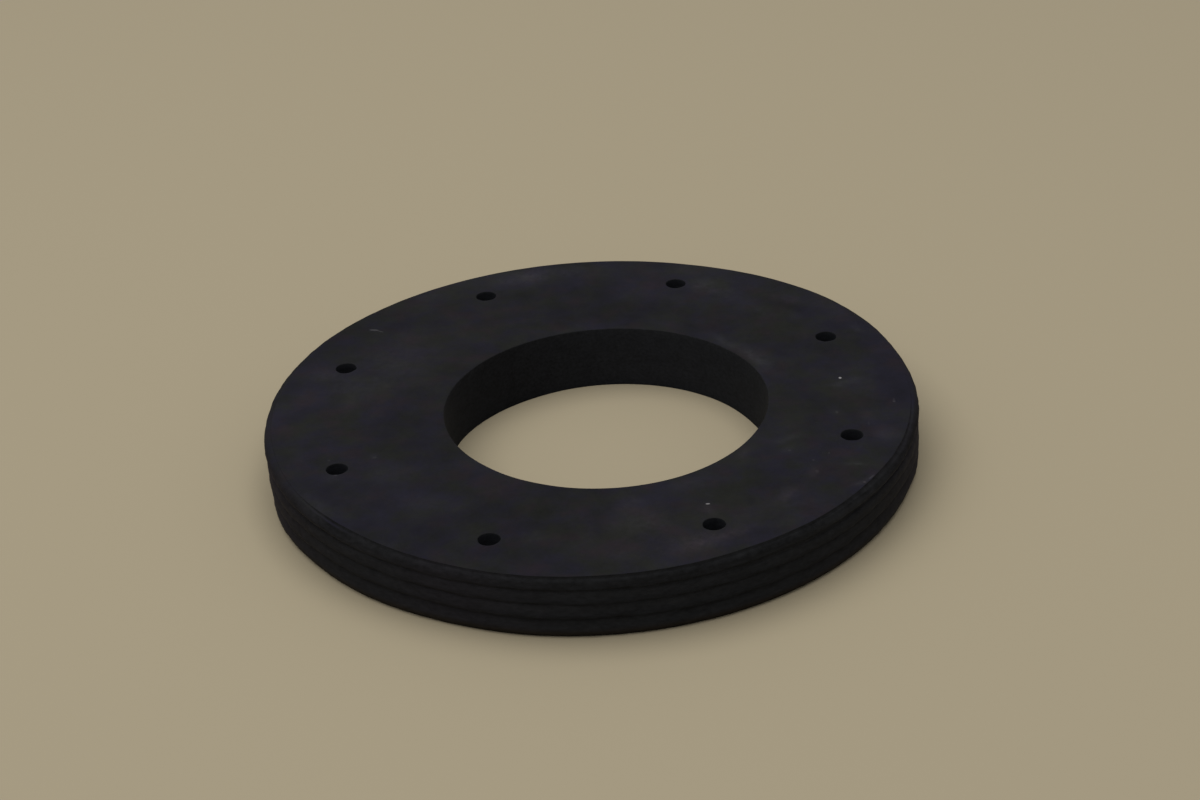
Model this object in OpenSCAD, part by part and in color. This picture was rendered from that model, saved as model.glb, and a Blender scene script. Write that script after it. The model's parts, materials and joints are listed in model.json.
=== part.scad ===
// Sealing disc: a flat rubber disc with an off-centre bore, a circle of bolt holes
// and a rim of low, rounded sealing ribs.
// Millimetres. The origin is on the disc's own axis, in the plane of the lower face. +Z is up.

/* [Disc] */
// Diameter over the crests of the rim ribs
outer_d = 200; // [160:1:300]
// Thickness between the two flat faces
thickness = 20.5; // [12:0.5:40]

/* [Bore] */
// Diameter of the through bore
bore_d = 100; // [40:1:120]
// Distance from the disc's axis to the bore's axis
bore_offset = 5.7; // [0:0.1:8]
// Direction of that offset, counted from +X towards +Y
bore_direction = -32; // [-180:1:180]

/* [Bolt holes] */
// Number of bolt holes, evenly spaced
hole_count = 8; // [3:1:12]
// Diameter of each bolt hole
hole_d = 6.6; // [3:0.1:8]
// Distance from the rib crests in to the circle of hole centres
hole_inset = 17.5; // [10:0.5:20]

/* [Ribbed rim] */
// Number of ribs round the rim
rib_count = 4; // [2:1:5]
// How far the ribs stand out beyond the edges of the two faces
rib_stand = 2.4; // [1.2:0.1:3]
// How deep the grooves are between the ribs
rib_depth = 1; // [0.5:0.1:1.2]
// Flat root between one rib and the next
rib_gap = 0.25; // [0.1:0.05:0.6]
// Height of the bevelled edge between each face and the rib nearest to it
edge_land = 0.9; // [0.3:0.05:1.5]

/* [Hidden] */
$fn = 180;

outer_r = outer_d / 2;
face_r = outer_r - rib_stand;
root_r = outer_r - rib_depth;
hole_circle_r = outer_r - hole_inset;

// The first hole is half a space from +X, so that the holes straddle the X and Y axes
hole_spacing = 360 / hole_count;
first_hole_angle = hole_spacing / 2;

// A rib is the cap of a circle: rib_half to each side of its crest, and rib_depth proud of the roots
rib_pitch = (thickness - 2 * edge_land) / rib_count;
rib_half = (rib_pitch - rib_gap) / 2;
rib_nose_r = (rib_half * rib_half + rib_depth * rib_depth) / (2 * rib_depth);
rib_nose_x = outer_r - rib_nose_r;
// Each cap is cut this far inside the roots, so that it joins the disc with no seam
rib_sink = 0.05;

// Every cutter runs this far past both faces
cut_margin = 1;
cut_length = thickness + 2 * cut_margin;

// Half section of one rib: the cap of a circle, cut off just inside the disc
module rib_section() {
    intersection() {
        translate([rib_nose_x, 0])
            circle(r = rib_nose_r);
        translate([root_r - rib_sink, -rib_pitch / 2])
            square([rib_depth + 2 * rib_sink, rib_pitch]);
    }
}

// Half section of the disc under the ribs: two flat faces, bevelled edges and the root band
module core_section() {
    polygon([
        [0, 0], [face_r, 0], [root_r, edge_land],
        [root_r, thickness - edge_land], [face_r, thickness], [0, thickness]
    ]);
}

// Half section of the solid disc, with its ribs stacked up the rim
module disc_section() {
    core_section();
    for (i = [0 : rib_count - 1])
        translate([0, edge_land + rib_pitch * (i + 0.5)])
            rib_section();
}

// The bore, off the disc's axis
module bore_cutter() {
    rotate([0, 0, bore_direction])
        translate([bore_offset, 0, -cut_margin])
            cylinder(d = bore_d, h = cut_length);
}

// The bolt holes, concentric with the rim
module hole_cutters() {
    for (i = [0 : hole_count - 1])
        rotate([0, 0, first_hole_angle + i * hole_spacing])
            translate([hole_circle_r, 0, -cut_margin])
                cylinder(d = hole_d, h = cut_length);
}

module sealing_disc() {
    color([0.14, 0.14, 0.15])
        difference() {
            rotate_extrude()
                disc_section();
            bore_cutter();
            hole_cutters();
        }
}

sealing_disc();
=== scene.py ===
# %% [markdown]
# # A rubber sealing disc
# The real thing is one moulded disc of black rubber, 200 mm across and about 20 mm thick, lying
# flat on a bench. A 100 mm bore goes through it a little off its centre, eight bolt holes run
# round it near the rim, and four low sealing ribs go round the outside. It has been handled: a
# thin bloom has come up on the top face, with smudges, scuffs and a few pale specks in it.
#
# This lesson lays out the camera, the bench and the light, builds the disc as one closed mesh,
# and then makes its finish. The CAD model comes first. It fixes every size and place, so each
# number that belongs to it is read from it and not typed again.

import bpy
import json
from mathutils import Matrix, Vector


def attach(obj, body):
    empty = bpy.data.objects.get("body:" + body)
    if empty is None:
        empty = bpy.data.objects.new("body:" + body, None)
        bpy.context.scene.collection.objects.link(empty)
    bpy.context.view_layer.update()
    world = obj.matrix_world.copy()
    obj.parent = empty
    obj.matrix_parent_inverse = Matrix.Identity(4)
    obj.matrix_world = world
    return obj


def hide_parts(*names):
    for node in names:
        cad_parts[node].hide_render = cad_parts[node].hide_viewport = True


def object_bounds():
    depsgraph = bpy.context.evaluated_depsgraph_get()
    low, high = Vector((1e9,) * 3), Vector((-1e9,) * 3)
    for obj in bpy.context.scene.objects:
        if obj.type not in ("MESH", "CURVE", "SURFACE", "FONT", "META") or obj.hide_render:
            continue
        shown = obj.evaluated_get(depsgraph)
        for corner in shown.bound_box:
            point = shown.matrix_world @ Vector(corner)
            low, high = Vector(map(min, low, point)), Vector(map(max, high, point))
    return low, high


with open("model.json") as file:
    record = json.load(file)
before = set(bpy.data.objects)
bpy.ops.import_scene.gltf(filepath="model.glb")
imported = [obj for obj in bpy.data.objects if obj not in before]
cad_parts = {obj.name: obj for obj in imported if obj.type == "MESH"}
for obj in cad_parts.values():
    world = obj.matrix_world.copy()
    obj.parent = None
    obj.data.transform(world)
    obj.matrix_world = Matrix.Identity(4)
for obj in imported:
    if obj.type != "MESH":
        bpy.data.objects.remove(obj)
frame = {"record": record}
cad_low, cad_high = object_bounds()
print("CAD box in mm:", [round(1000 * v, 2) for v in (*cad_low, *cad_high)])

# %% Bring in the tools
import json
import math

import bmesh
import bpy
import numpy as np
from mathutils import Matrix, Vector, noise

MM = 0.001  # Blender counts in metres, and this lesson in millimetres
scene = bpy.context.scene

# %% [markdown]
# ## The camera
# We look at the disc from the front and about 29 degrees above the bench, through a lens of about
# 76 mm, with the camera tipped a little to one side. A camera can be placed with three numbers
# for its place and three for its angles, but those six are hard to judge by eye. An aim point, a
# distance, two angles and a tilt say the same thing in the way that we would set up a tripod.

# %% Place the camera
def aimed_camera(aim, distance, azimuth, elevation, tilt, lens):
    """A camera that looks at aim from this far away, from this azimuth and elevation in degrees."""
    azimuth, elevation, tilt = (math.radians(a) for a in (azimuth, elevation, tilt))
    level = math.cos(elevation)
    back = Vector((level * math.cos(azimuth), level * math.sin(azimuth), math.sin(elevation)))
    level_right = Vector((0, 0, 1)).cross(back).normalized()
    right = Matrix.Rotation(tilt, 3, back) @ level_right
    data = bpy.data.cameras.new("bench_camera")
    data.lens, data.sensor_width = lens, 36.0
    data.clip_start, data.clip_end = 0.05, 60.0
    camera = bpy.data.objects.new("bench_camera", data)
    turn = Matrix((right, back.cross(right), back)).transposed()
    camera.matrix_world = Matrix.Translation(aim + back * distance) @ turn.to_4x4()
    scene.collection.objects.link(camera)
    return camera

scene.camera = aimed_camera(
    aim=Vector((3.55, 36.79, 0)) * MM, distance=816.7 * MM,
    azimuth=-90.94, elevation=28.93, tilt=-3.35, lens=75.9,
)
print("camera at", [round(v / MM) for v in scene.camera.matrix_world.translation], "mm")

# %% [markdown]
# ## The bench and the light
# The bench is covered with plain pale paper, so one large plane is enough. It is much larger than
# the view needs, so that no edge shows from a low camera.

# %% Lay the bench paper
def finish(name):
    """A new material and its shader."""
    material = bpy.data.materials.new(name)
    material.use_nodes = True
    return material, material.node_tree.nodes["Principled BSDF"]

paper, paper_shader = finish("bench_paper")
PAPER = (0.357, 0.305, 0.209, 1)
paper_shader.inputs["Base Color"].default_value = PAPER
paper_shader.inputs["Roughness"].default_value = 0.9
paper_shader.inputs["Specular IOR Level"].default_value = 0.1

bpy.ops.mesh.primitive_plane_add(size=30)
bench = bpy.context.object
bench.name = "bench"
bench.data.materials.append(paper)
print("bench colour", PAPER)

# %% [markdown]
# The shadow round the disc is soft and almost even on all sides, as under a large ceiling panel in
# a pale room. A bright world gives the room, and one broad area lamp overhead, a little to the
# left, gives the panel. Together they light the bench so that a colour shows about as it is set.

# %% Light the bench
world = bpy.data.worlds.new("pale_room")
world.use_nodes = True
room = world.node_tree.nodes["Background"]
room.inputs["Color"].default_value = (1, 1, 1, 1)
room.inputs["Strength"].default_value = 0.36
scene.world = world

panel_data = bpy.data.lights.new("ceiling_panel", "AREA")
panel_data.shape = "SQUARE"
panel_data.size = 2.4
panel_data.energy = 33
panel = bpy.data.objects.new("ceiling_panel", panel_data)
panel.location = (-0.3, -0.08, 1.7)
panel.rotation_euler = panel.location.to_track_quat("Z", "Y").to_euler()
scene.collection.objects.link(panel)
scene.view_settings.view_transform = "Standard"
print("room", room.inputs["Strength"].default_value, "panel", panel_data.energy, "W")

# %% [markdown]
# ## The disc's sizes
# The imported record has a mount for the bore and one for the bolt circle. With the CAD box they
# give every size that we need.

# %% Read the sizes
mounts = {mount["name"]: mount for mount in frame["record"]["mounts"]}
thickness = (cad_high.z - cad_low.z) / MM
outer_r = (cad_high.x - cad_low.x) / MM / 2
bore_r = mounts["bore"]["dims"]["r_mm"]
bore_centre = np.array(mounts["bore"]["pos_m"][:2]) / MM
bolts = mounts["bolt_circle"]["dims"]
hole_r, hole_circle_r = bolts["hole_r_mm"], bolts["pcd_mm"] / 2
hole_turns = (np.arange(bolts["count"]) + 0.5) * 2 * math.pi / bolts["count"]
hole_centres = hole_circle_r * np.stack([np.cos(hole_turns), np.sin(hole_turns)], -1)
print(f"disc {outer_r:.2f} x {thickness:.2f}, bore {bore_r} at {bore_centre.round(2)}")
print(len(hole_centres), "holes of", hole_r, "on a circle of", hole_circle_r)

# %% [markdown]
# ## One skin, laid in rings
# The disc could be cut from a solid with Boolean modifiers, as a maker would bore and drill it.
# Those leave long thin triangles, which shade badly on a soft rounded edge. Here the skin is laid
# in rings instead, like the hoops of a basket: each ring has one point on each of 576 spokes, and
# a quad joins each point to its neighbours. The rings go out over the top face, down the ribs, in
# across the underside and up the bore, so the skin closes on itself.

# %% Rings and spokes
SPOKES = 576
spoke = np.arange(SPOKES) * 2 * math.pi / SPOKES
outward = np.stack([np.cos(spoke), np.sin(spoke)], -1)

def ring(radius, height, centre=(0, 0)):
    """One point on each spoke. The radius and the height may each be one number for each spoke."""
    flat = np.array(centre) + outward * np.broadcast_to(radius, SPOKES)[:, None]
    return np.column_stack([flat, np.broadcast_to(height, SPOKES)])

print("a gap between spokes is", round(2 * math.pi * outer_r / SPOKES, 2), "mm at the rim")

# %% [markdown]
# Nothing on moulded rubber is quite even. `wander` gives a smooth wave round the disc, made of a
# few sines with random sizes, and it closes on itself after one turn. Each use has its own seed,
# so the disc comes out the same every time.

# %% A line that wanders
def wander(seed, size, slowest=2, fastest=14, angle=spoke):
    """A closed wave of at most size, with from slowest to fastest swings in a turn."""
    dice = np.random.default_rng(seed)
    wave = sum(
        dice.normal() * np.sin(swings * angle + dice.uniform(0, 2 * math.pi))
        for swings in range(slowest, fastest + 1)
    )
    return size * wave / np.abs(wave).max()

print("a sample:", wander(1, 1.0)[:6].round(2))

# %% [markdown]
# ## The ribbed rim
# Four ribs stand round the outside, with a shallow groove between each two. The rim tapers a
# little: the lowest rib stands out least, and the disc was trimmed slightly off round at the face
# edge. The grooves aren't quite evenly spaced either. They get deeper and shallower as they go
# round, so they look broken in places, and the top one is wider on one side.
#
# A short, smooth bulge is the simplest way to make one side differ from the rest, so `swell` goes
# beside `wander`: one for chosen places, the other for chance. The whole rim stands out most near
# 40 degrees, and it is squeezed a little near -120 and -50. At both ends, near -161 and -11, the
# foot and the two lowest ribs are fuller.

# %% A bulge at one side
def swell(*bulges, around=np.degrees(spoke)):
    """The sum of smooth bulges, for each of these angles round the disc. A bulge is given by its
    azimuth, by its spread to each side, both in degrees, and by its size."""
    total = np.zeros(len(around))
    for azimuth, spread, size in bulges:
        away = (around - azimuth + 180) % 360 - 180
        total += size * np.exp(-((away / spread) ** 2))
    return total

FACE_INSET, FOOT_INSET = 2.5, 2.35  # how far the edges of the two faces lie inside the full radius
FACE_SHIFT = 0.3                    # how far the top face is trimmed off centre, towards -Y

rim_bulge = swell((40, 19, 1.5), (150, 20, 0.5), (12, 9, -0.4))
squeeze = swell((-120, 14, 0.6), (-50, 20, 0.33)) - rim_bulge
fuller_foot = swell((-161, 10, 0.75), (-11, 11, 0.9))
face_edge = outer_r - FACE_INSET + rim_bulge - FACE_SHIFT * np.sin(spoke)
face_edge += swell((-90, 24, 0.95), (-134, 14, -0.6), (-36, 18, -0.3))
face_edge += wander(1, 0.12) + wander(2, 0.05, 30, 90)
foot_edge = outer_r - FOOT_INSET - squeeze + 0.8 * fuller_foot
foot_edge += wander(3, 0.12) + wander(4, 0.08, 20, 80)
print("face edge from", round(face_edge.min(), 2), "to", round(face_edge.max(), 2), "mm")

# %% Groove places and depths
GROOVES = [5.95, 11.1, 15.65]         # heights of the three grooves, from the bench up
CREST_DROPS = [1.1, 0.5, 0.25, 0.15]  # how far each rib's crest stays inside the full radius
FOOT, LAND = 0.3, 19.6                # where the lowest rib starts, and where the top rib ends

rise_in_grooves = swell((-140, 25, 0.35), (-136, 14, 0.4), (-28, 16, 0.85))
groove_height = [
    h + wander(20 + i, 0.18) + wander(30 + i, 0.16, 18, 70) + rise_in_grooves
    for i, h in enumerate(GROOVES)
]
groove_half = [0.1, 0.1, 0.12 + swell((-48, 30, 0.4), (-150, 14, 0.08))]
usual_depth = [
    0.5 + swell((-100, 40, 0.12), (-26, 12, 0.25)),
    0.5 + swell((-100, 40, 0.12)),
    0.62 + swell((-34, 28, 0.4), (-152, 14, 0.35)),
]
groove_depth = [
    depth + wander(40 + i, 0.12) + wander(50 + i, 0.28, 14, 80)
    for i, depth in enumerate(usual_depth)
]
crest_r = [
    outer_r - drop - squeeze + wander(60 + i, 0.1, 2, 20)
    for i, drop in enumerate(CREST_DROPS)
]
crest_r[0] += fuller_foot
crest_r[1] += 0.5 * fuller_foot
root_r = [crest - depth for crest, depth in zip(crest_r, groove_depth)]
print("groove depths from", np.min(groove_depth).round(2), "to", np.max(groove_depth).round(2), "mm")

# %% [markdown]
# A rib's section is the cap of a circle. It is given by its height, and by how far it falls away
# from its crest on each side. Moulded ribs of this kind are lumpy to the touch, as the rubber
# doesn't fill such fine grooves evenly, so each point is moved in or out by up to about a quarter
# of a millimetre. These lumps are real shape: a bump in the finish would vanish at the outline.
#
# At two places, near -143 and -28 degrees, the upper side of the top rib has worn about half way
# to a straight bevel.

# %% Lay the ribs, from the top one down
# Where a rib's rings lie: 1 is its top, 0 its middle and -1 its bottom
RIB_STEPS = [1, 0.97, 0.9, 0.78, 0.62, 0.42, 0.2, -0.03, -0.27, -0.5, -0.7, -0.85, -0.95, -1]
FACE_ROUND = 0.12  # radius of the rounded corner between the top face and the rim
CLEAR = 0.02       # how far the ribs stay from that corner and from the CAD box
# Sizes of lumps in mm: how far they stand out, how long and how high they are. The last number
# only takes each kind from its own part of the noise.
LUMPS = [(0.1, 4.5, 1.7, 0), (0.14, 2.4, 1.1, 40)]

widest = (outer_r - CLEAR) / np.abs(outward).max(axis=1)  # the CAD box, which no rib may leave

def cap(step, half, drop):
    """How far a cap has fallen from its crest at this step, if it falls by drop over half its height."""
    bend = (half**2 + drop**2) / (2 * drop)
    return bend - np.sqrt(np.maximum(bend**2 - (half * step) ** 2, 0))

def lumps(height, size, long, high, part):
    """One kind of lumps at this height, with one value for each spoke."""
    heights = np.broadcast_to(height, SPOKES)
    return size * np.array([
        noise.noise(Vector((outer_r * c / long, outer_r * s / long, part + h / high)))
        for (c, s), h in zip(outward, heights)
    ])

def rib(top, bottom, crest, drop_above, drop_below, worn):
    """The rings of one rib, from the top down. Where worn is 1, its upper side is a straight bevel."""
    middle, half = (top + bottom) / 2, (top - bottom) / 2
    laid = []
    for step in RIB_STEPS:
        drop = np.minimum(drop_above if step > 0 else drop_below, half)
        fall = cap(step, half, drop)
        if step > 0:
            fall = fall + worn * (drop * step - fall)
        height = middle + half * step
        lumpy = crest - fall + sum(lumps(height, *kind) for kind in LUMPS)
        laid.append(ring(np.minimum(lumpy, widest), height))
    return laid

land = LAND + wander(70, 0.12) + swell((-160, 22, 0.9), (4, 26, 0.9))
land = np.minimum(land, thickness - FACE_ROUND - CLEAR)
# One entry for each rib, the lowest first: where it ends and starts, how far it falls away from
# its crest above and below, and how worn it is
tops = [*(h - w for h, w in zip(groove_height, groove_half)), land]
bottoms = [FOOT, *(h + w for h, w in zip(groove_height, groove_half))]
above = [*groove_depth, crest_r[3] - face_edge - FACE_ROUND]
below = [crest_r[0] - foot_edge, *(crest_r[i + 1] - root_r[i] for i in range(3))]
worn = [0, 0, 0, swell((-143, 18, 0.55), (-28, 18, 0.5))]
rim_rings = []
for i in (3, 2, 1, 0):
    rim_rings += rib(tops[i], bottoms[i], crest_r[i], above[i], below[i], worn[i])
print(len(rim_rings), "rings on the rim")

# %% [markdown]
# ## The faces, the bore and their edges
# No real edge is a knife edge. A cut or moulded rubber edge has a radius of a tenth of a
# millimetre or two, which is enough to catch a thin line of light. Each edge turns its corner in
# four rings. The rings of a face change step by step from the circle of the rim to the circle of
# the bore, which isn't in the middle, so the skin follows both. The bore itself is slightly out
# of round, and at two places it narrows towards its foot.

# %% Lay the faces and the bore
QUARTER = [(math.cos(a), math.sin(a)) for a in np.radians([0, 30, 60, 90])]
TOP_RINGS, UNDER_RINGS, BORE_RINGS = 44, 18, 9
EDGE_ROUND = 0.25    # radius of the other three rounded edges
CLOSE_RING = 0.012   # how far the first and last ring of a face lie from its edges, as a share
BORE_TIGHT = 0.1     # how far the mouth of the bore lies inside its nominal radius

def between(first, last, count):
    """Rings from first to last, with a close one at each end to keep the edges crisp."""
    shares = [CLOSE_RING, *(i / count for i in range(1, count)), 1 - CLOSE_RING]
    return [first + (last - first) * share for share in shares]

bore_mouth = bore_r - BORE_TIGHT - swell((-140, 35, 0.6), (-30, 36, 0.95)) + wander(80, 0.06, 3, 20)
bore_foot = bore_mouth - swell((122, 28, 0.7), (25, 14, 0.4))
edge = [(EDGE_ROUND * (1 - c), EDGE_ROUND * (1 - s)) for c, s in QUARTER]
bore_top = [ring(bore_mouth + out, thickness - down, bore_centre) for out, down in edge]
rim_top = [
    ring(face_edge - FACE_ROUND * (1 - s), thickness - FACE_ROUND * (1 - c))
    for c, s in QUARTER
]
rim_under = [ring(foot_edge - back, up) for back, up in edge]
bore_under = [ring(bore_foot + out, up, bore_centre) for up, out in edge]
bore_wall = [
    ring(
        bore_foot + (bore_mouth - bore_foot) * share,
        EDGE_ROUND + (thickness - 2 * EDGE_ROUND) * share,
        bore_centre,
    )
    for share in np.arange(1, BORE_RINGS) / BORE_RINGS
]
top_face = between(bore_top[-1], rim_top[0], TOP_RINGS)
under_face = between(rim_under[-1], bore_under[0], UNDER_RINGS)
top_start = len(bore_top)
under_start = top_start + len(top_face) + len(rim_top) + len(rim_rings) + len(rim_under)
rings = np.array([
    *bore_top, *top_face, *rim_top, *rim_rings,
    *rim_under, *under_face, *bore_under, *bore_wall,
])
print(len(rings), "rings,", len(rings) * SPOKES, "points")

# %% [markdown]
# ## The bolt holes
# Each hole replaces a block of quads in the top face and one below it in the underside. The edge
# of a block is a closed loop of points. Loops of the same count lead from it to the round mouth,
# over its rounded lip, down the wall and out to the block below. A hole punched in rubber is never
# quite round, so each mouth wanders a little, and most are a little tighter than the hole.

# %% Cut a block out of a face
points = rings.reshape(-1, 3).tolist()
skin = []
cut_out = set()

def at(i, j):
    """The number of the point where ring i meets spoke j. Both counts run on round the disc."""
    return i % len(rings) * SPOKES + j % SPOKES

def cut_block(start, count, rows, columns, centre):
    """Marks the quads round centre as cut out, and gives the loop of points at their edge."""
    gap = np.hypot(*np.moveaxis(rings[start:start + count, :, :2] - centre, -1, 0))
    i, j = (int(n) for n in np.unravel_index(gap.argmin(), gap.shape))
    i += start
    across, along = range(i - rows, i + rows), range(j - columns, j + columns)
    cut_out.update((a, b % SPOKES) for a in across for b in along)
    loop = [(i + rows, b) for b in along]
    loop += [(a, j + columns) for a in range(i + rows, i - rows, -1)]
    loop += [(i - rows, b) for b in range(j + columns, j - columns, -1)]
    loop += [(a, j - columns) for a in across]
    return [at(a, b) for a, b in loop]

def flat_of(loop):
    """Where the points of a loop lie across and along."""
    return np.array([points[v][:2] for v in loop])

# %% Match one loop to another
def bearings(loop, centre):
    """The direction of each point of a loop from the centre of its hole."""
    return np.arctan2(*(flat_of(loop) - centre).T[::-1])

def way_round(angles):
    """1 where a loop runs anticlockwise, and -1 where it runs clockwise."""
    return np.sign(np.sin(angles[1] - angles[0]))

def matched(loop, centre, goal):
    """The same loop, reversed and started so that its points face those at the goal angles."""
    angles = bearings(loop, centre)
    if way_round(angles) != way_round(goal):
        loop, angles = loop[::-1], angles[::-1]

    def misfit(start):
        """How far the loop is from facing the goal angles, if it starts at this point."""
        return np.abs(np.exp(1j * np.roll(angles, -start)) - np.exp(1j * goal)).sum()

    start = min(range(len(loop)), key=misfit)
    return loop[start:] + loop[:start]

# %% Line each hole
LIP, APRON = 0.2, 0.15                   # radius of the rounded lip, and width of the apron round it
TOP_BLOCK, UNDER_BLOCK = (5, 6), (2, 9)  # half the rings and half the spokes that are cut out
TOP_SHARES = (0.3, 0.58, 0.8, 0.94)      # how far from block to apron the loops between them lie
UNDER_SHARES = (0.75, 0.4)               # the same on the underside, where they go back out
TEAR = 0.17                              # how far a mouth wanders from round
LIP_EVENS = 0.6                          # how much of that has gone at the foot of the lip
# Most mouths have closed up a little, and one has opened
HOLE_EASE = [0, -0.1, 0, -0.1, -0.1, -0.1, -0.1, 0.1]
# How much of the unevenness is left at each height of the wall below
WALL = (
    (0.3, thickness - 1), (0.15, thickness - 2.5),
    (0, thickness * 0.66), (0, thickness * 0.33), (0, 1),
)

def lay(flat, height):
    """Adds a loop of points at one height and gives their numbers."""
    start = len(points)
    points.extend([float(x), float(y), float(height)] for x, y in flat)
    return list(range(start, len(points)))

def hoop(centre, directions, radius, height):
    """Lays a loop at this radius round a hole. The radius may be one number for each point."""
    return lay(centre + directions * np.broadcast_to(radius, len(directions))[:, None], height)

for number, centre in enumerate(hole_centres):
    top = cut_block(top_start, len(top_face), *TOP_BLOCK, centre)
    from_top = bearings(top, centre)
    under = cut_block(under_start, len(under_face), *UNDER_BLOCK, centre)
    under = matched(under, centre, from_top)

    turn = way_round(from_top) * np.arange(len(top)) * 2 * math.pi / len(top)
    turn += np.angle(np.exp(1j * (from_top - turn)).mean())
    directions = np.stack([np.cos(turn), np.sin(turn)], -1)
    tear = wander(200 + number, TEAR, 2, 7, turn) + HOLE_EASE[number]
    apron = centre + directions * (hole_r + LIP + APRON)
    top_flat, under_flat = flat_of(top), flat_of(under)

    loops = [top]
    loops += [lay(top_flat + (apron - top_flat) * share, thickness) for share in TOP_SHARES]
    for c, s in QUARTER:
        mouth_r = hole_r + LIP * (1 - s) + tear * (1 - LIP_EVENS * s)
        loops.append(hoop(centre, directions, mouth_r, thickness - LIP * (1 - c)))
    loops += [hoop(centre, directions, hole_r + tear * share, height) for share, height in WALL]
    loops += [hoop(centre, directions, hole_r + LIP * (1 - c), LIP * (1 - s)) for c, s in QUARTER]
    loops += [lay(under_flat + (apron - under_flat) * share, 0) for share in UNDER_SHARES]
    loops.append(under)
    for a, b in zip(loops, loops[1:]):
        skin += [(a[k], a[k - 1], b[k - 1], b[k]) for k in range(len(a))]
print(len(hole_centres), "holes lined with", len(skin), "quads")

# %% [markdown]
# ## Close the skin
# The quads between the rings are added, all but those that were cut out. Then the top face gets
# its own slow hollows, up to 0.07 mm deep. That is far too little to see as a shape, but it moves
# the light across the face a little, as on real moulded rubber.

# %% Sink the hollows
TOP_SKIN = 0.31      # the top face and its rounded edges lie within this of the top
HOLLOW_DEPTH = 0.07

def hollow(x, y):
    """How deep the face lies here, from 0 to 1, as a slow wave with a quicker one on it."""
    slow = noise.noise(Vector((x / 26, y / 26, 3.7)))
    quick = noise.noise(Vector((x / 7, y / 7, 8.1)))
    return min(max(0.5 + 0.6 * slow + 0.2 * quick, 0), 1)

for point in points:
    if point[2] > thickness - TOP_SKIN:
        point[2] -= HOLLOW_DEPTH * hollow(point[0], point[1])
print("hollows up to", HOLLOW_DEPTH, "mm deep")

# %% Make the mesh
for i in range(len(rings)):
    for j in range(SPOKES):
        if (i, j) not in cut_out:
            skin.append((at(i, j), at(i, j + 1), at(i + 1, j + 1), at(i + 1, j)))

body = bmesh.new()
corners = [body.verts.new(Vector(point) * MM) for point in points]
for quad in skin:
    body.faces.new([corners[v] for v in quad])
bmesh.ops.delete(body, geom=[v for v in body.verts if not v.link_faces], context="VERTS")
bmesh.ops.recalc_face_normals(body, faces=body.faces)
for face in body.faces:
    face.smooth = True
disc_mesh = bpy.data.meshes.new("rubber_disc")
body.to_mesh(disc_mesh)
body.free()
disc = bpy.data.objects.new("rubber_disc", disc_mesh)
scene.collection.objects.link(disc)
print(len(disc_mesh.polygons), "quads")

# %% [markdown]
# ## Smudges in the bloom
# The top face is dusty in patches: pale scuffs near the edge and beside the bore, and a few
# pinkish rubs at the front. Patches this soft are painted straight onto the points of the mesh,
# as numbers that the material reads. Each patch is an oval with a soft edge, and the points are
# shaken a little first, so that no patch comes out as a neat oval.

# %% Places of the patches
# Across, along, half length, half width in mm, turn in degrees, strength
PALE = [
    (0, 90, 30, 9, 0, 0.25), (48, 80, 22, 8, -32, 0.2), (-46, 80, 22, 8, 32, 0.15),
    (-88, 14, 8, 14, 0, 0.12), (-20, 88, 8, 4.5, 0, 0.6), (-5, 92, 9, 3.5, 0, 0.3),
    (-51, 79, 4, 2.5, 35, 0.3), (-57, 51, 5, 4, 0, 0.2), (-72, 18, 9, 8, 0, 0.4),
    (-83, 29, 6, 5, 50, 0.25), (-60, 30, 7, 12, 10, 0.3), (-68, 38, 14, 9, 70, 0.2),
    (40, 75, 4, 4, 0, 0.6), (47, 67, 7, 5, -40, 0.45), (16, 71, 6, 5, 0, 0.2), (67, 61, 6, 4, -50, 0.3),
    (57, 53, 9, 4, -45, 0.3), (86, 37, 3.5, 2.2, -60, 0.5), (72, 20, 2.5, 2, 0, 0.2),
    (45, 31.5, 8, 2.2, -52, 0.7), (53.5, 20, 7, 2.6, -66, 1.0), (80, 1, 5, 1.6, 25, 0.5),
    (75.5, -1, 2.5, 1.2, -20, 0.5), (84, -4, 4, 6, 0, 0.2), (-80, -52, 7.5, 2.8, -50, 0.5),
    (-51, -54, 7, 5, 0, 0.3), (-61, -37, 9, 7, -40, 0.35), (-77, -37, 3, 3, 0, 0.3),
    (-65.5, -26, 1.8, 1.4, 0, 0.4), (-88, -22, 3, 9, 10, 0.2), (-19, -76, 3, 4, 0, 0.25),
    (57, -31.5, 4, 1.6, 20, 0.5), (56.5, -38, 2.4, 1.7, 0, 0.4), (63, -51, 1.2, 3, 0, 0.4),
    (74, -48.5, 3.6, 1.3, -8, 0.5), (76.5, -58, 4.5, 1.1, 52, 0.6), (73.3, -18, 1.4, 2, 0, 0.3),
    (87, -32.5, 4, 3.4, 30, 0.5), (83, -22, 2, 5, 20, 0.25), (53, -76, 5, 3, 30, 0.25),
    (56.5, -68, 6, 1.6, 12, 0.3), (11, -72, 7, 6, 0, 0.45), (25, -54, 9, 4, 20, 0.4),
    (8, -62, 4, 4, 0, 0.2),
]
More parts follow.
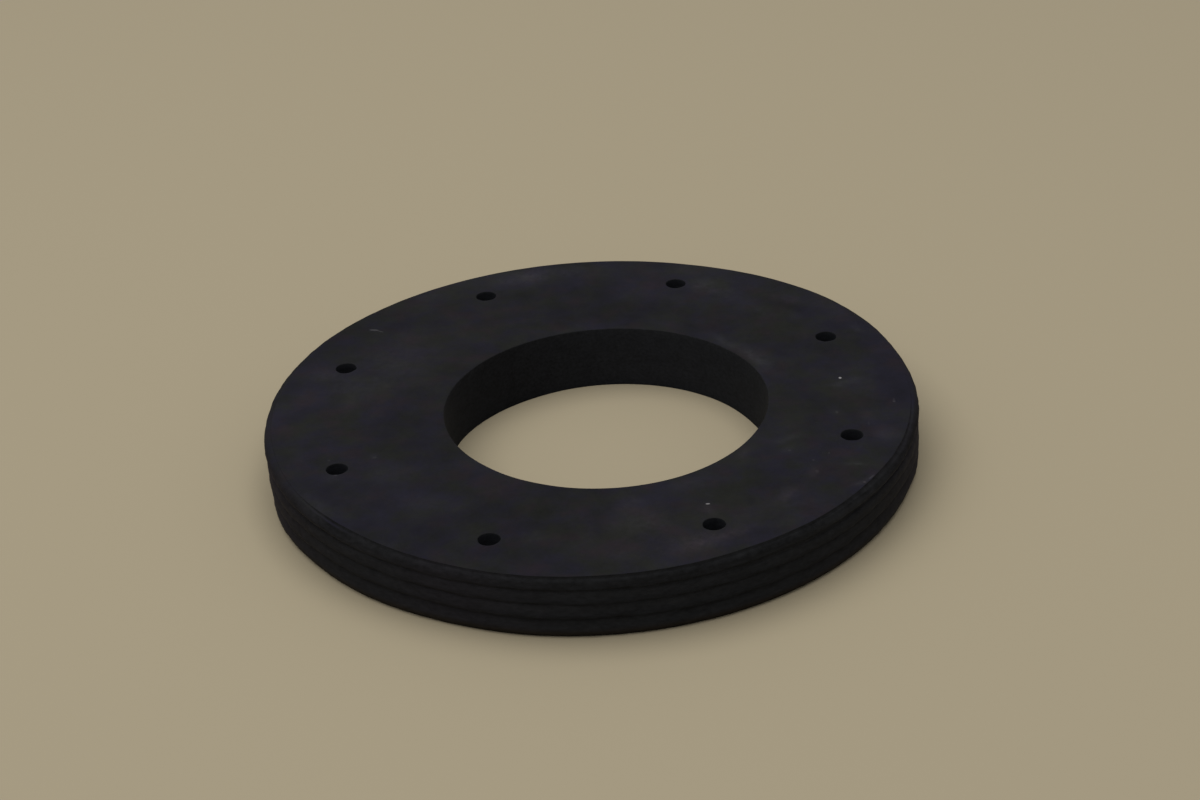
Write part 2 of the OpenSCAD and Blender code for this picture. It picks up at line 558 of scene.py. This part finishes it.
WARM = [
    (-54, 38, 8, 12, 15, 0.3), (-63, 17, 3, 3, 0, 0.4), (-74, 9, 2.2, 3.4, 0, 0.3),
    (-82, 27, 4, 3, 40, 0.25), (-17, 89, 6, 3.5, 0, 0.4), (42, 68, 2.5, 2.5, 0, 0.3),
    (80, 53, 9, 4, -58, 0.3), (69, 34, 2, 4, 0, 0.25), (8, -63, 3.4, 5, 0, 0.4),
    (31, -69, 1.8, 4.5, 10, 0.4), (25, -85.5, 7, 4.2, 12, 0.85), (33, -82.5, 7, 2.4, 18, 0.5),
    (39, -79, 6, 3, 20, 0.3), (52.5, -63.5, 4.6, 2.4, 42, 0.9), (42, -71, 6, 4, 10, 0.3),
    (44, -37, 3, 2.2, 45, 0.5), (5, -89, 6, 4, 0, 0.3), (-4, -80, 4, 7, 0, 0.25),
    (-41, -58, 2.5, 2.5, 0, 0.2), (15, -76, 14, 10, 0, 0.2),
]
DARK = [
    (2, 58, 20, 10, 0, 1.0), (-17, 72, 9, 6, 0, 0.5), (39, 43, 8, 7, -45, 0.8),
    (68, 53, 8, 2.5, -48, 0.8), (89, 22, 5, 10, 15, 0.3), (77, 20, 8, 9, 0, 0.8),
    (64, 3, 6, 11, 0, 0.7), (72, -14, 5, 7, 0, 0.5), (-50, -70, 10, 7, -30, 0.4),
    (-55, -10, 8, 12, 0, 0.3), (-50, -40, 7, 10, 40, 0.5), (20, 57, 18, 8, 0, 0.3),
    (46, -53, 7, 7, 0, 0.7), (81, -34.5, 4, 0.9, 0, 0.6), (42.6, -66, 0.9, 3, 0, 0.8),
    (-34, -60, 14, 8, 20, 0.3), (92, -12, 4, 9, 0, 0.3), (-75, 50, 5, 4, 0, 0.3),
    (-90, 0, 4, 9, 0, 0.3),
]
VIOLET = [
    (93, 5, 6, 26, 0, 1.0), (-62, -52, 22, 14, -40, 0.4), (70, -70, 16, 8, 45, 0.4),
    (12, 75, 20, 12, 0, 0.4), (-88, 20, 7, 15, 0, 0.4), (57, 45, 12, 9, -30, -0.6),
    (76, -10, 6, 16, 0, -0.4), (0, -78, 16, 9, 0, -0.5), (34, -62, 12, 10, 20, -0.4),
    (-46, 42, 10, 12, 0, -0.4), (-76, 2, 6, 10, 0, -0.4),
]

# %% Paint the patches
SHAKE, SHAKE_WIDTH = 2.2, 6  # how far a place is moved in mm, and how far apart that changes

def shaken(x, y):
    """A place on the face, moved a little to one side by chance."""
    spot = Vector((x / SHAKE_WIDTH, y / SHAKE_WIDTH, 1.3))
    return x + SHAKE * noise.noise(spot), y + SHAKE * noise.noise(spot + Vector((9, 4, 7)))

count = len(disc_mesh.vertices)
spots = np.empty(count * 3)
disc_mesh.vertices.foreach_get("co", spots)
spots = spots.reshape(-1, 3) / MM
on_top = spots[:, 2] > thickness - 0.4  # the face with its hollows and rounded edges
moved = np.array([shaken(x, y) for x, y in spots[on_top, :2]])

def keep(name, amount):
    """Stores one number for each point of the mesh under this name."""
    disc_mesh.attributes.new(name, "FLOAT", "POINT").data.foreach_set("value", amount.astype(np.float32))
    print(name, "from", amount.min().round(2), "to", amount.max().round(2))

def paint(name, patches):
    """Stores the sum of the patches on the points of the top face."""
    amount = np.zeros(count)
    for x, y, long, wide, turn, strength in patches:
        c, s = math.cos(math.radians(turn)), math.sin(math.radians(turn))
        dx, dy = (moved - (x, y)).T
        along, beside = (dx * c + dy * s) / long, (dy * c - dx * s) / wide
        amount[on_top] += strength * np.exp(-(along**2) - beside**2)
    keep(name, amount)

paint("pale_bloom", PALE)
paint("warm_bloom", WARM)
paint("worn_dark", DARK)
paint("violet_tint", VIOLET)

# %% [markdown]
# The rim has its own tone. The shoulder of the top rib is darker at the front: that is painted
# shade, which dims the light its upward-facing side catches, and it fades out towards the face
# edge. Where the rib is worn, a faint band of dust lies under its crest. At both ends the bloom of
# the face has come over the edge, and the dust there is a little violet. The foot is paler, as
# painted light thrown up from the bench, and browner where it meets the bench. The far wall of the
# bore is painted paler where it faces the front left and darker at the back left, as painted light
# and shade.

# %% Small helpers for tone
def azimuths(flat):
    """The azimuth of each point in degrees."""
    return np.degrees(np.arctan2(flat[:, 1], flat[:, 0]))

spot_heights, spot_azimuths = spots[:, 2], azimuths(spots)

def tone(*bulges):
    """Bulges of tone round the disc's axis, for each point of the mesh."""
    return swell(*bulges, around=spot_azimuths)

def rise(low, high, heights=spot_heights):
    """For each point 0 below the low height and 1 above the high one, with a smooth step between."""
    share = np.clip((heights - low) / (high - low), 0, 1)
    return share * share * (3 - 2 * share)

print("azimuths from", spot_azimuths.min().round(1), "to", spot_azimuths.max().round(1))

# %% Tone round the rim and the bore
RIM_BAND = 4  # how far in from the full radius the rim's tones reach
# Heights between which each tone comes in or goes out
SHOULDER, CORNER, EDGE_BLOOM = (17.4, 19.0), (19.45, 19.75), (18.6, 19.8)
DUST_START, DUST_END = (16.6, 17.6), (18.8, 19.5)
PAINTED_FOOT_GLOW, BROWN_FOOT = (2.5, 6.0), (1.0, 4.0)

on_rim = np.hypot(spots[:, 0], spots[:, 1]) > outer_r - RIM_BAND
# Painted shade: the top rib's upward-facing shoulder is darkened, most at the front, and less near the
# face edge
corner_fade = (0.25 + tone((-62, 20, 0.55), (-140, 14, -0.25))) * rise(*CORNER)
shoulder = rise(*SHOULDER) * (1 - corner_fade)
painted_shoulder_shade = 0.42 + tone((-138, 14, 0.22), (-45, 25, 0.13), (-18, 12, 0.22))
dust_heights = spot_heights - tone((-153, 10, 1.6))  # the band of dust climbs at its far end
dust = rise(*DUST_START, dust_heights) * (1 - rise(*DUST_END, dust_heights))
# In the rim's tone, the paler foot is painted light thrown up from the bench, and the shoulder term is
# painted shade
rim_tone_and_painted_light = on_rim * (
    0.12 * (1 - rise(*PAINTED_FOOT_GLOW)) - painted_shoulder_shade * shoulder
    + tone((-112, 22, 0.16), (-153, 12, -0.12))
    + dust * tone((-147, 13, 0.4), (-43, 11, 0.42))
)
keep("edge_bloom", on_rim * rise(*EDGE_BLOOM) * tone((-170, 18, 0.9), (8, 20, 0.9)))

from_bore = spots[:, :2] - bore_centre
# The wall of the bore, up to the lower part of its rounded mouth
in_bore = (np.hypot(*from_bore.T) < bore_r + 0.3) & (spot_heights < thickness - 0.2)
# Painted light and shade on the far wall of the bore: paler where it faces the front left, darker at the
# back left
bore_painted_light = in_bore * swell((65, 28, 0.18), (133, 28, -0.24), around=azimuths(from_bore))
# This attribute holds the rim's and the bore's tones, with painted light and shade among them
keep("side_tone_and_painted_light", rim_tone_and_painted_light + bore_painted_light)
keep("side_violet", on_rim * tone((-170, 20, 0.8), (-8, 20, 0.8), (-116, 12, 0.3)))
keep("foot_brown", on_rim * (1 - rise(*BROWN_FOOT)))

# %% [markdown]
# ## The rubber
# Black rubber isn't quite black: clean, it gives back about one part in a hundred of the light.
# The skin that faces up carries the bloom, a faint grey with a touch of violet, so it looks
# lighter than the ribs and the bore. The patches above are added to it. Under them go three sizes
# of mottling, and a fine grain that also roughens the surface.
#
# The material is a handful of number nodes that end in one Principled shader. `calc` and `blend`
# keep that short: each makes a node, joins its inputs and gives its output.

# %% Small helpers for nodes
rubber, rubber_shader = finish("bloomed_rubber")
rubber_tree = rubber.node_tree

def feed(socket, value):
    """Joins another node's output to this socket, or sets its value."""
    if isinstance(value, bpy.types.NodeSocket):
        rubber_tree.links.new(value, socket)
    else:
        socket.default_value = value

def make(kind, *inputs, output=0, **settings):
    """A node of this kind, with its settings and inputs. An input that is None stays as it is."""
    made = rubber_tree.nodes.new("ShaderNode" + kind)
    for name, value in settings.items():
        setattr(made, name, value)
    for socket, value in zip(made.inputs, inputs):
        if value is not None:
            feed(socket, value)
    return made.outputs[output]

def calc(operation, a, b=0.0, c=0.0, clamp=False):
    """A number worked out from up to three others."""
    return make("Math", a, b, c, operation=operation, use_clamp=clamp)

def weigh(*parts):
    """The sum of some values, each times its own weight."""
    total = 0.0
    for value, weight in parts:
        total = calc("MULTIPLY_ADD", value, weight, total)
    return total

def ramp(value, low, high, out_low=0.0, out_high=1.0):
    """Goes smoothly from out_low to out_high as value goes from low to high."""
    return make("MapRange", value, low, high, out_low, out_high, interpolation_type="SMOOTHSTEP")

def cloud(where, scale, detail=2.0, roughness=0.5):
    """Noise about 0, from -1 to 1, at scale swings in a millimetre."""
    level = make("TexNoise", where, None, scale, detail, roughness, noise_dimensions="3D")
    return calc("MULTIPLY_ADD", level, 2.0, -1.0)

def blend(amount, first, second):
    """Colour first where amount is 0 and second where it is 1."""
    node = rubber_tree.nodes.new("ShaderNodeMix")
    node.data_type = "RGBA"
    for index, value in ((0, amount), (6, first), (7, second)):
        feed(node.inputs[index], value)
    return node.outputs[2]

def scaled(colour, scale):
    """A colour made lighter or darker by a number."""
    return make("VectorMath", colour, None, None, scale, operation="SCALE")

# %% Where a point is
STRETCH = 2.5  # the mottling on the rim is this many times as long as it is high

place = make("VectorMath", make("TexCoord", output=3), (1000, 1000, 1000), operation="MULTIPLY")
x_mm, y_mm, z_mm = (make("SeparateXYZ", place, output=i) for i in range(3))
facing = make("SeparateXYZ", make("NewGeometry", output=1), output=2)
along_rim = calc("MULTIPLY", calc("ARCTAN2", y_mm, x_mm), outer_r)
round_the_rim = make("CombineXYZ", along_rim, calc("MULTIPLY", z_mm, STRETCH), 0.0)
near_top = ramp(z_mm, thickness - 0.8, thickness - 0.4)
on_face = calc("MULTIPLY", ramp(facing, 0.8, 0.98), near_top)
print("the place of a point, and how far up it faces, are ready")

# %% Mottling and streaks
def painted(name):
    """A number that was painted on the points of the mesh."""
    return make("Attribute", output=2, attribute_name=name)

broad = cloud(place, 0.028, 2.0)
patchy = cloud(place, 0.13, 3.0, 0.6)
grain = cloud(place, 0.9, 3.0, 0.65)
flecks = cloud(round_the_rim, 0.4, 3.0, 0.65)
streaks = cloud(round_the_rim, 0.1, 3.0, 0.6)
face_shade = weigh((broad, 0.52), (patchy, 0.55), (grain, 0.36))
side_shade = weigh((streaks, 0.35), (grain, 0.2), (flecks, 0.6))
print("three sizes of mottling on the face, streaks and flecks round the rim")

# %% Colours
FACE_GREY = (0.0091, 0.0096, 0.0078, 1)
FACE_BLUE = (0.0081, 0.0074, 0.0140, 1)
FACE_ROSE = (0.0122, 0.0080, 0.0108, 1)
SIDE_ABOVE = (0.0106, 0.0109, 0.0119, 1)   # the upper side of a rib, a little dusty
SIDE_BELOW_PAINTED_COOL = (0.0112, 0.0125, 0.0162, 1)   # its underside, bluer and a little lighter: a painted correction for the bench's warm light
SIDE_VIOLET = (0.0140, 0.0108, 0.0158, 1)  # the dusty ends of the rim
SIDE_FOOT = (0.0145, 0.0117, 0.0098, 1)    # browner where the rim meets the bench
COOL_DUST = (0.0580, 0.0570, 0.0660, 1)
WARM_DUST = (0.0660, 0.0530, 0.0610, 1)

side_scale_with_painted_shade = calc("ADD", calc("ADD", side_shade, 1.0), painted("side_tone_and_painted_light"))
# Painted shade: skin that faces down is darkened to 0.7 under the ribs, which dims the light from the
# bench
side_scale_with_painted_shade = calc("MULTIPLY", side_scale_with_painted_shade, ramp(facing, -0.75, -0.3, 0.7, 1.0))
# Undersides take the bluer colour, a painted correction for the warm light thrown up from the bench
side_hue = blend(ramp(facing, -0.35, 0.35), SIDE_BELOW_PAINTED_COOL, SIDE_ABOVE)
side_hue = blend(painted("side_violet"), side_hue, SIDE_VIOLET)
side_hue = blend(painted("foot_brown"), side_hue, SIDE_FOOT)
side_colour = scaled(side_hue, side_scale_with_painted_shade)

hue = weigh((cloud(place, 0.09, 4.0, 0.65), 1.0), (painted("violet_tint"), 0.4))
rose = ramp(cloud(place, 0.11, 3.0, 0.6), -0.05, 0.4, 0.0, 0.65)
face_hue = blend(rose, blend(ramp(hue, -0.4, 0.4), FACE_GREY, FACE_BLUE), FACE_ROSE)
face_scale = calc("ADD", weigh((face_shade, 1.0), (painted("worn_dark"), -0.4)), 1.0)
face_colour = scaled(face_hue, face_scale)

broken = ramp(cloud(place, 0.5, 4.0, 0.7), -0.6, 0.7, 0.45, 1.55)
for name, strength, dust_colour in (("pale_bloom", 0.23, COOL_DUST), ("warm_bloom", 0.2, WARM_DUST)):
    amount = calc("MULTIPLY", calc("MULTIPLY", painted(name), broken), strength, clamp=True)
    face_colour = blend(amount, face_colour, dust_colour)

over_edge = calc("MULTIPLY", painted("edge_bloom"), ramp(facing, -0.1, 0.5))
skin_colour = blend(calc("MAXIMUM", on_face, over_edge), side_colour, face_colour)
print("colours set")

# %% [markdown]
# The specks are crumbs of something pale, each about a millimetre across, and the scratches are
# thin dry lines. They are too fine for the points of the mesh, so the material draws them.

# %% Specks and scratches
CRUMB = (0.5, 0.48, 0.48, 1)
COVER = 0.5  # a mark of strength 1 would hide this share of the skin's own colour

def mark(x, y, long, wide, turn):
    """1 inside a small sharp oval on the top face, 0 outside."""
    spot = make(
        "Mapping", place, (x, y, thickness), (0, 0, math.radians(turn)), (long, wide, 2.0),
        vector_type="TEXTURE",
    )
    return ramp(make("VectorMath", spot, operation="LENGTH", output=1), 0.6, 1.1, 1.0, 0.0)

# Across, along, half length, half width in mm, turn in degrees, strength
MARKS = [
    (77.2, 3.7, 0.5, 0.6, 0, 0.9), (30.7, -65.2, 0.7, 0.4, 0, 0.6), (91.4, -13.2, 0.5, 0.7, 0, 0.07),
    (91.5, -11.9, 0.4, 0.4, 0, 0.06), (-68.2, 56.8, 1.7, 0.6, -15, 0.12),
    (-66.2, 55.6, 1.6, 0.3, -35, 0.08), (57.0, -38.3, 0.6, 0.6, 0, 0.03),
    (78.6, -56.4, 1.6, 0.4, 52, 0.05), (76.2, -59.0, 0.5, 0.5, 0, 0.06),
    (63.2, -44.8, 0.4, 0.7, 0, 0.035), (63.5, -51.3, 0.6, 1.0, 0, 0.03),
    (73.5, -17.5, 0.5, 0.9, 0, 0.035), (68.2, -41.3, 0.4, 0.6, 0, 0.03),
    (82.0, -25.5, 0.3, 1.2, 0, 0.025), (75.8, -48.7, 1.4, 0.4, -10, 0.03),
    (-65.3, -26.3, 0.8, 0.6, 30, 0.03), (-76.5, -35.2, 0.8, 0.4, -30, 0.04),
    (-78.8, -26.2, 0.5, 0.5, 0, 0.03),
]
for *oval, strength in MARKS:
    skin_colour = blend(calc("MULTIPLY", mark(*oval), strength * COVER), skin_colour, CRUMB)
feed(rubber_shader.inputs["Base Color"], skin_colour)
print(len(MARKS), "marks")

# %% Roughness and grain
shine = weigh((patchy, 0.06), (grain, 0.05))
feed(rubber_shader.inputs["Roughness"], calc("ADD", shine, 0.78))
rubber_shader.inputs["Specular IOR Level"].default_value = 0.1
bump = rubber_tree.nodes.new("ShaderNodeBump")
bump.inputs["Strength"].default_value = 0.5
bump.inputs["Distance"].default_value = 0.05 * MM
feed(bump.inputs["Height"], weigh((grain, 0.5), (patchy, 0.6)))
feed(rubber_shader.inputs["Normal"], bump.outputs["Normal"])
disc_mesh.materials.append(rubber)
print(len(rubber_tree.nodes), "nodes in the rubber")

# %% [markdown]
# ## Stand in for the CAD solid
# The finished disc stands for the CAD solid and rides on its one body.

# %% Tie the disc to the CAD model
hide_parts("sealing_disc")
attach(disc, "root")
